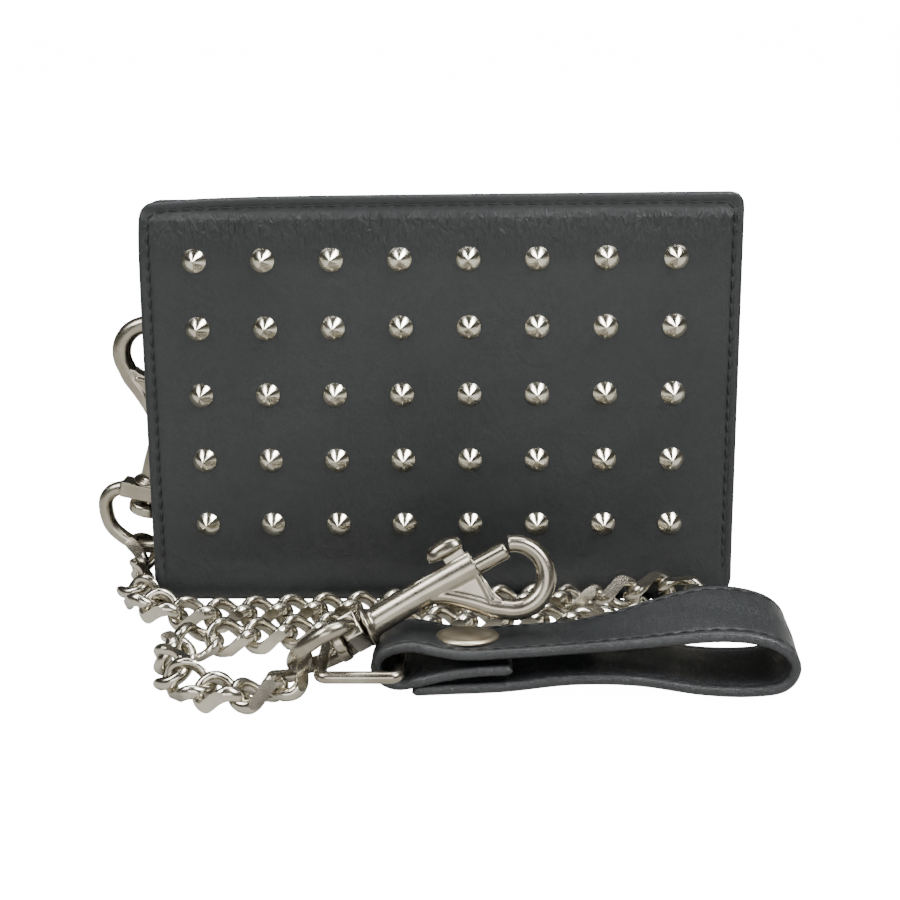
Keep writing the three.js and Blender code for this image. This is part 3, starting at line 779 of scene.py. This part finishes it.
def hook_barrel():
    """The barrel, wider towards its muzzle on the lever's side and waisted under the web."""
    stations = [(0.9, 0, 3.15), (1.9, 0, 3.0), (5, -0.15, 3.03), (9, -0.35, 2.95), (12.5, -0.45, 2.95),
                (17, -0.5, 3.1), (21, -0.5, 3.2), (25.5, -0.5, 3.25), (HOOK["muzzle"], -0.5, 3.05)]
    path = [Vector((x, 0, z)) for z, x, _ in stations]
    radii = [(wide, min(wide, 2.95)) for _, _, wide in stations]
    return tube(path, radii, (0, 1, 0), 40)


def hook_web():
    """The flat plate between barrel, flank and eye. Its front edge is the slanted muzzle face."""
    rim = [(-3.0, 10), (0.6, 12.5), (2.4, 17.2), (4.8, 20.4), (7.2, 23.1), (9.6, 25.6), (9.4, 27.2)]
    inner = [eye_point(math.radians(a), HOOK["eye"] - 1.75) for a in (-55, -70, -85)]
    rim += [(p.x, p.z) for p in inner] + [(0.2, HOOK["muzzle"] + 0.2), (-3.4, HOOK["muzzle"] - 0.1)]
    count = len(rim)
    verts = [(x, y, z) for y in (-1.85, 1.85) for x, z in rim]
    faces = [tuple(range(count)), tuple(range(2 * count - 1, count - 1, -1))]
    faces += [(k, (k + 1) % count, count + (k + 1) % count, count + k) for k in range(count)]
    return verts, faces


def hook_body(number, matrix):
    """Barrel, web, S-shaped flank and eye, cast in one, with the bolt's bore and the lever's slot."""
    skirt = lathe([(0, 0), (4.15, 0), (4.45, 0.35), (4.45, 0.8), (4.0, 1.2), (3.2, 1.6), (3.0, 2.2),
                   (0, 2.2)], 48)
    stem = lathe([(0, -8), (1.55, -8), (1.55, 0.5), (0, 0.5)], 24)
    rivet_top = -DEE["beam"] - 3 * DEE["gap"]
    head = [(0, -2.6), (4.1, -2.6), (4.55, -2.1), (4.6, -0.4), (4.3, 0), (0, 0)]
    head = lathe([(radius, rivet_top + height) for radius, height in head], 40)
    flank = [(-1.0, 8.6), (0.2, 12.9), (2.0, 17.0), (4.4, 20.1), (6.9, 22.8), (9.0, 24.8)]
    path = [Vector((x, 0, z)) for x, z in flank]
    path += [eye_point(math.radians(a), HOOK["eye"]) for a in (-42, -30, -17, -4, *range(10, 131, 15))]
    path += [eye_point(math.radians(a), HOOK["eye"] - 0.004 * (a - 130)) for a in (140, 150, 160)]
    path = smooth_curve(path, 110)
    radii = []
    for k in range(len(path)):
        t = k / (len(path) - 1)
        thick = math.sin(math.pi * min(max((t - 0.25) / 0.6, 0), 1))
        radii.append((1.9 + 0.3 * thick - 0.1 * max(t - 0.8, 0) / 0.2, 2.35 - 0.3 * t))
    rim = tube(path, radii, (0, 1, 0), 28)
    brow = [Vector((x, 0, HOOK["muzzle"] - 0.55 - 0.01 * x)) for x in np.linspace(-2.6, 7.6, 12)]
    brow = tube(brow, [(0.8, 2.35)] * 12, (0, 1, 0), 20)
    verts, faces = join_parts([hook_barrel(), skirt, stem, head, rim, brow, hook_web()])
    piece = mesh_object(f"hook{number}_cast", verts, faces, FITTING)
    fuse(piece, 0.22, 5)
    bore_verts, bore_faces = lathe([(0, 12.4), (HOOK["bore"], 12.4), (HOOK["bore"], 29), (0, 29)], 40)
    cut(piece, bore_verts, bore_faces)
    cut(piece, *block(-6, 0, -1.3, 1.3, 14.4, 25.4))
    set_in_place(piece, matrix)
    ride_as(piece, f"hook{number}", "fitting_nickel", f"hook{number}_body")


def hook_bolt(number, matrix):
    """The spring bolt with its domed thumb lever on a short stem."""
    end, r = HOOK["end"], HOOK["bolt"]
    shaft = lathe([(0, 18.8), (r - 0.05, 18.8), (r, 19), (r, end - 0.7), (r - 0.2, end - 0.25),
                   (r - 0.7, end), (0, end)], 40)
    stem = block(-5.6, 0, -1.05, 1.05, 20.6, 25.2)
    paddle = []
    rings, sides = 20, 32
    for i in range(rings + 1):
        t = math.pi * i / rings
        girth = abs(math.sin(t)) ** 0.55
        for k in range(sides):
            a = 2 * math.pi * k / sides
            width = math.copysign(abs(math.sin(a)) ** 0.8, math.sin(a))
            height = math.copysign(abs(math.cos(a)) ** 0.8, math.cos(a))
            lift = height * (2.75 if height > 0 else 0.85) * girth
            paddle.append((-5.5 - lift, 2.85 * width * girth, 21.7 - 4.0 * math.cos(t)))
    paddle_faces = grid_faces(rings + 1, sides, close_columns=True)
    verts, faces = join_parts([shaft, stem, (paddle, paddle_faces)])
    piece = mesh_object(f"hook{number}_slider", verts, faces, FITTING)
    fuse(piece, 0.2, 3)
    set_in_place(piece, matrix)
    ride_as(piece, f"hook{number}_bolt", "fitting_nickel", f"hook{number}_bolt")


def hook_dee(number, matrix):
    """The swivel dee: a beam round the hook's stem and a bow of wire."""
    half, length, wire = DEE["half"], DEE["length"], DEE["wire"]
    top = -DEE["gap"]
    foot = top - DEE["beam"]
    bow = smooth_curve(
        [(-DEE["beam_half"] + 1, 0, top - 1.9), (-half + 1, 0, top - 3.9), (-half, 0, top - 7.6),
         (-half * 0.72, 0, top - 13.2), (0, 0, top - length + wire), (half * 0.72, 0, top - 13.2),
         (half, 0, top - 7.6), (half - 1, 0, top - 3.9), (DEE["beam_half"] - 1, 0, top - 1.9)], 80)
    arc = tube(bow, [(wire, wire)] * 80, (0, 1, 0), 20)
    beam = block(-DEE["beam_half"], DEE["beam_half"], -2.7, 2.7, foot, top)
    verts, faces = join_parts([arc, beam])
    piece = mesh_object(f"hook{number}_dee", verts, faces, FITTING)
    fuse(piece, 0.24, 6)
    hole_verts, hole_faces = lathe([(0, foot - 2), (1.85, foot - 2), (1.85, top + 2), (0, top + 2)], 24)
    cut(piece, hole_verts, hole_faces)
    set_in_place(piece, matrix)
    ride_as(piece, f"hook{number}_swivel", "fitting_nickel", f"hook{number}_swivel")


def hooks():
    """Both bolt snap hooks, each with body, bolt and dee."""
    for number in (1, 2):
        body_frame, dee_frame = hook_frames(number)
        hook_body(number, body_frame)
        hook_bolt(number, body_frame)
        hook_dee(number, dee_frame)


def tab_ring():
    """The small oval split ring between the tab's eyelet and the first hook."""
    low, high = (Vector(corner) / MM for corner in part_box("tab_ring"))
    centre = (low + high) / 2
    rise = math.radians(46)
    along = Vector((-math.cos(rise), 0, -math.sin(rise)))
    across = Vector((0, 1, 0))
    path = []
    for k in range(56):
        angle = 2 * math.pi * k / 56
        path.append(centre + along * 4.5 * math.cos(angle) + across * 3.2 * math.sin(angle))
    verts, faces = tube(path, [(0.8, 0.8)] * 56, along.cross(across), 16, closed=True)
    ride_as(mesh_object("tab_ring_wire", verts, faces, FITTING), "tab_ring", "fitting_nickel", "tab_ring")


# ---- Belt strap ---------------------------------------------------------------------------------
LOOP_X = 65.0


def strap_line():
    """The strap's centre line in (X, Z): from the sewn end under the ring, over it, along the top,
    round the loop and back below to the tail's end. Also the index where the top run starts."""
    wrap = [(15.7, 6.6), (8, 6.1), (2, 5.2), (-3, 3.9), (-7.6, 3.1), (-10.6, 4.2), (-12.2, 7.0),
            (-10.9, 9.9), (-7.6, 11.4), (-4.0, 11.7)]
    run = [(1, 10.6), (7, 9.9), (20, 10.7), (40, 12.3), (49, 13.2), (58, 13.8), (LOOP_X, 13.1), (70.2, 10.9),
           (72.8, 7.0), (70.6, 2.9), (64, 1.7), (54, 2.1), (41, 4.1), (28, 4.3), (14, 2.7), (2, 2.1),
           (-4.9, 1.75)]
    line = smooth_curve([(x, 0, z) for x, z in wrap + run], 320)
    split = next(k for k, p in enumerate(line) if p.z > 9 and p.x > 0.8)
    return line, split


def strap_tilt(k, point, split):
    """The slope of the strap across its width, which twists it along its length."""
    share = min(max((point.x - 26) / 34, 0), 1)
    upper = -0.155 + 0.30 * share * share * (3 - 2 * share)
    lower = 0.0 if k < split else 0.03
    height = min(max((point.z - 3.5) / 6, 0), 1)
    return lower + (upper - lower) * height * height * (3 - 2 * height)


def strap_section():
    """Across the strap: (place, half thickness, groove depth, crown height)."""
    width = STRAP["far"] - STRAP["near"]
    half = STRAP["thickness"] / 2
    steps = [0, 0.08, 0.22, 0.45, 0.75, 1.1, 1.5, 1.75, 1.95, 2.15, 2.4, 2.8, 3.6]
    middle = list(np.linspace(4.6, width - 4.6, 14))
    places = steps + middle + [width - s for s in steps[::-1]]
    section = []
    for at in places:
        edge = min(at, width - at)
        roll = half * rounding(edge / (half * 0.95))
        groove = 0.22 * math.exp(-(((edge - 1.95) / 0.28) ** 2))
        crown = 0.12 * math.sin(math.pi * at / width)
        section.append((at, roll, groove, crown))
    return section


def strap_surface(line, split, first, last):
    """Closed leather between two stations of the strap's line."""
    section = strap_section()
    width = STRAP["far"] - STRAP["near"]
    outer, inner = [], []
    for k in range(first, last + 1):
        point = line[k]
        tangent = (line[min(k + 1, len(line) - 1)] - line[max(k - 1, 0)]).normalized()
        normal = Vector((-tangent.z, 0, tangent.x))
        tilt = strap_tilt(k, point, split)
        ends = min(k, len(line) - 1 - k)
        taper = rounding(ends * 0.6 / 1.1)
        for at, roll, groove, crown in section:
            sideways = Vector((0, STRAP["near"] + at, tilt * at))
            wave = 0.10 * math.sin(0.21 * point.x + 0.5 * at) * min(at, width - at) / 10
            middle = point + sideways + normal * wave
            outer.append(middle + normal * (roll + crown - groove) * taper)
            inner.append(middle - normal * (roll - groove * 0.6) * taper)
    rows, columns = last - first + 1, len(section)
    faces = grid_faces(rows, columns) + grid_faces(rows, columns, start=len(outer))
    shift = len(outer)
    for row in (0, rows - 1):
        for j in range(columns - 1):
            a = row * columns + j
            faces.append((a, a + 1, shift + a + 1, shift + a))
    return outer + inner, faces


def strap_stitches(line, split, first, last):
    """Thread along both long edges, on the strap's outer side."""
    parts = []
    spacing = 3.0
    step = sum((b - a).length for a, b in zip(line, line[1:])) / (len(line) - 1)
    stride = max(2, round(spacing / step))
    width = STRAP["far"] - STRAP["near"]
    for at in (1.95, width - 1.95):
        for k in range(first + 1, last - stride, stride):
            ends = []
            for q in (k, k + stride - 1):
                point = line[q]
                tangent = (line[q + 1] - line[q - 1]).normalized()
                normal = Vector((-tangent.z, 0, tangent.x))
                base = point + Vector((0, STRAP["near"] + at, strap_tilt(q, point, split) * at))
                ends.append(base + normal * (STRAP["thickness"] / 2 - 0.12))
            parts.append(stitch(ends[0], ends[1], normal, 0.2))
    return join_parts(parts)


def strap():
    """The leather loop for the belt, bent round the ring's bar at its left end."""
    line, split = strap_line()
    last = len(line) - 1
    wrap = mesh_object("strap_wrap", *strap_surface(line, split, 0, split), STRAP_LEATHER)
    wrap.data.set_sharp_from_angle(angle=math.radians(50))
    ride_as(wrap, "strap", "strap_leather", "strap_upper")
    loop = mesh_object("strap_loop", *strap_surface(line, split, split, last), STRAP_LEATHER)
    loop.data.set_sharp_from_angle(angle=math.radians(50))
    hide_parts("strap_tail")
    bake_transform(loop)
    seam = mesh_object("strap_seam", *strap_stitches(line, split, split, last), THREAD)
    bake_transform(seam)
    wrap_seam = mesh_object("strap_wrap_seam", *strap_stitches(line, split, 1, split), THREAD)
    ride_as(wrap_seam, "strap", "strap_leather")


def strap_ring():
    """The rectangular ring of round wire that the strap hangs on."""
    low, high = (Vector(corner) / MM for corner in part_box("strap_ring"))
    wire, corner = RING_WIRE["radius"], RING_WIRE["corner"]
    x0, x1, y0, y1 = low.x + wire, high.x - wire, low.y + wire, high.y - wire
    centre_z = (low.z + high.z) / 2
    path = []
    corners = ((x1 - corner, y1 - corner, 0), (x0 + corner, y1 - corner, 90),
               (x0 + corner, y0 + corner, 180), (x1 - corner, y0 + corner, 270))
    for cx, cy, start in corners:
        for k in range(9):
            angle = math.radians(start + 90 * k / 8)
            path.append((cx + corner * math.cos(angle), cy + corner * math.sin(angle), centre_z))
    dense = []
    for a, b in zip(path, path[1:] + path[:1]):
        steps = max(1, int((Vector(b) - Vector(a)).length / 1.2))
        dense += [Vector(a).lerp(Vector(b), k / steps) for k in range(steps)]
    verts, faces = tube(dense, [(wire, wire)] * len(dense), (0, 0, 1), 20, closed=True)
    piece = mesh_object("strap_ring_wire", verts, faces, FITTING)
    ride_as(piece, "strap_ring", "fitting_nickel", "strap_ring")


def snap():
    """The strap's snap: domed cap and socket on the upper layer, stud on the tail."""
    r = SNAP["radius"]
    place = Matrix.Translation((SNAP["x"], SNAP["y"], 0))
    tilt = Matrix.Rotation(SNAP["tilt"], 4, "X")
    cap = [(0, 0), (r - 0.3, 0), (r, 0.22), (r, 0.5), (r - 0.25, 0.8), (r - 0.9, 1.1), (r - 1.2, 1.08),
           (r - 1.6, 1.22), (r - 3, 1.7), (r - 5, 2.05), (r - 6, 2.14), (0, 2.16)]
    verts, faces = lathe(cap, 64)
    cap_place = Matrix.Translation((SNAP["x"], SNAP["y"], 9.75)) @ tilt
    piece = mesh_object("snap_cap_dome", placed(verts, cap_place), faces, SNAP_METAL)
    ride_as(piece, "strap", "fitting_nickel", "strap_snap_cap")
    socket = lathe([(0, 4.15), (1.9, 4.15), (2.1, 3.98), (4.3, 3.98), (4.6, 4.15), (4.5, 4.4), (2.2, 4.6),
                    (1.5, 4.9), (1.5, 9.6), (0, 9.6)], 48)
    piece = mesh_object("snap_socket_ring", placed(socket[0], place), socket[1], NICKEL)
    ride_as(piece, "strap", "fitting_nickel")
    stud = lathe([(0, 0.22), (r - 0.8, 0.22), (r - 0.45, 0.4), (r - 0.5, 0.66), (r - 1.4, 0.78), (1.3, 0.8),
                  (1.2, 1.2), (1.1, 3.2), (1.25, 3.5), (0.9, 3.8), (0, 3.85)], 48)
    piece = mesh_object("snap_stud_post", placed(stud[0], place), stud[1], NICKEL)
    ride_as(piece, "strap_tail", "fitting_nickel", "strap_snap_stud")


# ---- Stage --------------------------------------------------------------------------------------
def floor():
    """A wide white sheet, a hair below the part, that glows for the camera only and is painted darker in
    reflections, a painted reflection.
    """
    size, level = 40000, -0.05
    verts = [(-size, -size, level), (size, -size, level), (size, size, level), (-size, size, level)]
    material = plain_material("floor_paper", (0.92, 0.92, 0.92), 0.9, 300, 0.02)
    tree = NodeTree(material)
    surface = tree.nodes["Principled BSDF"].inputs
    rays = tree.add("LightPath").outputs
    # Painted reflection: for reflected rays the floor's colour is a darker grey, so the metal reflects a
    # darker floor.
    reflected_floor_shade = tree.add("MixRGB", Color1=(0.92, 0.92, 0.92, 1), Color2=(0.42, 0.415, 0.39, 1))
    tree.join(rays["Is Glossy Ray"], reflected_floor_shade.inputs["Fac"])
    tree.join(reflected_floor_shade.outputs["Color"], surface["Base Color"])
    surface["Emission Color"].default_value = (1, 1, 1, 1)
    tree.join(tree.times(rays["Is Camera Ray"], 15.5), surface["Emission Strength"])
    mesh_object("floor", verts, [(0, 1, 2, 3)], material)


def softbox(name, place, target, width, height, power, colour=(1, 1, 1)):
    light = bpy.data.lights.new(name, "AREA")
    light.shape = "RECTANGLE"
    light.size, light.size_y = width, height
    light.energy = power
    light.color = colour
    lamp = bpy.data.objects.new(name, light)
    lamp.location = place
    lamp.rotation_euler = (Vector(target) - Vector(place)).to_track_quat("-Z", "Y").to_euler()
    bpy.context.scene.collection.objects.link(lamp)


def world():
    """White for the camera and soft light for the rest, with a darker upper room in reflections."""
    scene_world = bpy.data.worlds.new("studio")
    bpy.context.scene.world = scene_world
    tree = NodeTree(scene_world)
    tree.nodes.clear()
    rays = tree.add("LightPath").outputs
    seen = tree.add("Background", Color=(1, 1, 1, 1), Strength=17.0)
    lit = tree.add("Background", Color=(0.96, 0.98, 1, 1), Strength=0.45)
    mirrored = tree.add("Background", Strength=0.75)
    axes = tree.add("SeparateXYZ")
    tree.join(tree.add("TexCoord").outputs["Generated"], axes.inputs["Vector"])
    height = tree.remap(axes.outputs["Z"], From_Min=-1)
    room = tree.ramp(height, (0.5, (0.5, 0.49, 0.45)), (0.62, (0.07, 0.067, 0.058)))
    tree.join(room, mirrored.inputs["Color"])
    unseen = tree.mix(rays["Is Glossy Ray"], lit, mirrored)
    everything = tree.mix(rays["Is Camera Ray"], unseen, seen)
    tree.join(everything.outputs["Shader"], tree.add("OutputWorld").inputs["Surface"])


def camera():
    """The photographer's place: a little right of the middle, looking down at 17 degrees."""
    data = bpy.data.cameras.new("camera")
    data.lens = 56
    data.sensor_width = 36
    data.clip_start = 0.01
    lens = bpy.data.objects.new("camera", data)
    pan, dip, roll = math.radians(2.02), math.radians(17.21), math.radians(-0.82)
    look = Vector((-math.sin(pan) * math.cos(dip), math.cos(pan) * math.cos(dip), -math.sin(dip)))
    turn = look.to_track_quat("-Z", "Y").to_matrix() @ Matrix.Rotation(roll, 3, "Z")
    lens.matrix_world = Matrix.Translation((0.0127, -0.31763, 0.13352)) @ turn.to_4x4()
    bpy.context.scene.collection.objects.link(lens)
    bpy.context.scene.camera = lens


def studio():
    """Floor, room, four softboxes and the camera."""
    floor()
    world()
    softbox("key_left", (-0.5, -0.35, 0.75), (0, 0, 0.03), 0.35, 0.5, 9)
    softbox("key_right", (0.5, -0.3, 0.8), (0, 0, 0.03), 0.35, 0.5, 15)
    softbox("top", (0, 0.2, 1.1), (0, 0, 0), 0.7, 0.3, 8)
    softbox("front", (0.05, -1.2, 0.35), (0, 0, 0.05), 0.9, 0.5, 6)
    camera()


covers()
cover_seam(-1, "wallet_front", "front_seam")
cover_seam(1, "wallet_rear", "rear_seam")
studs()
inside()
chain_tab()
tab_ring()
hooks()
chain()
strap()
strap_ring()
snap()
studio()

bpy.context.view_layer.update()
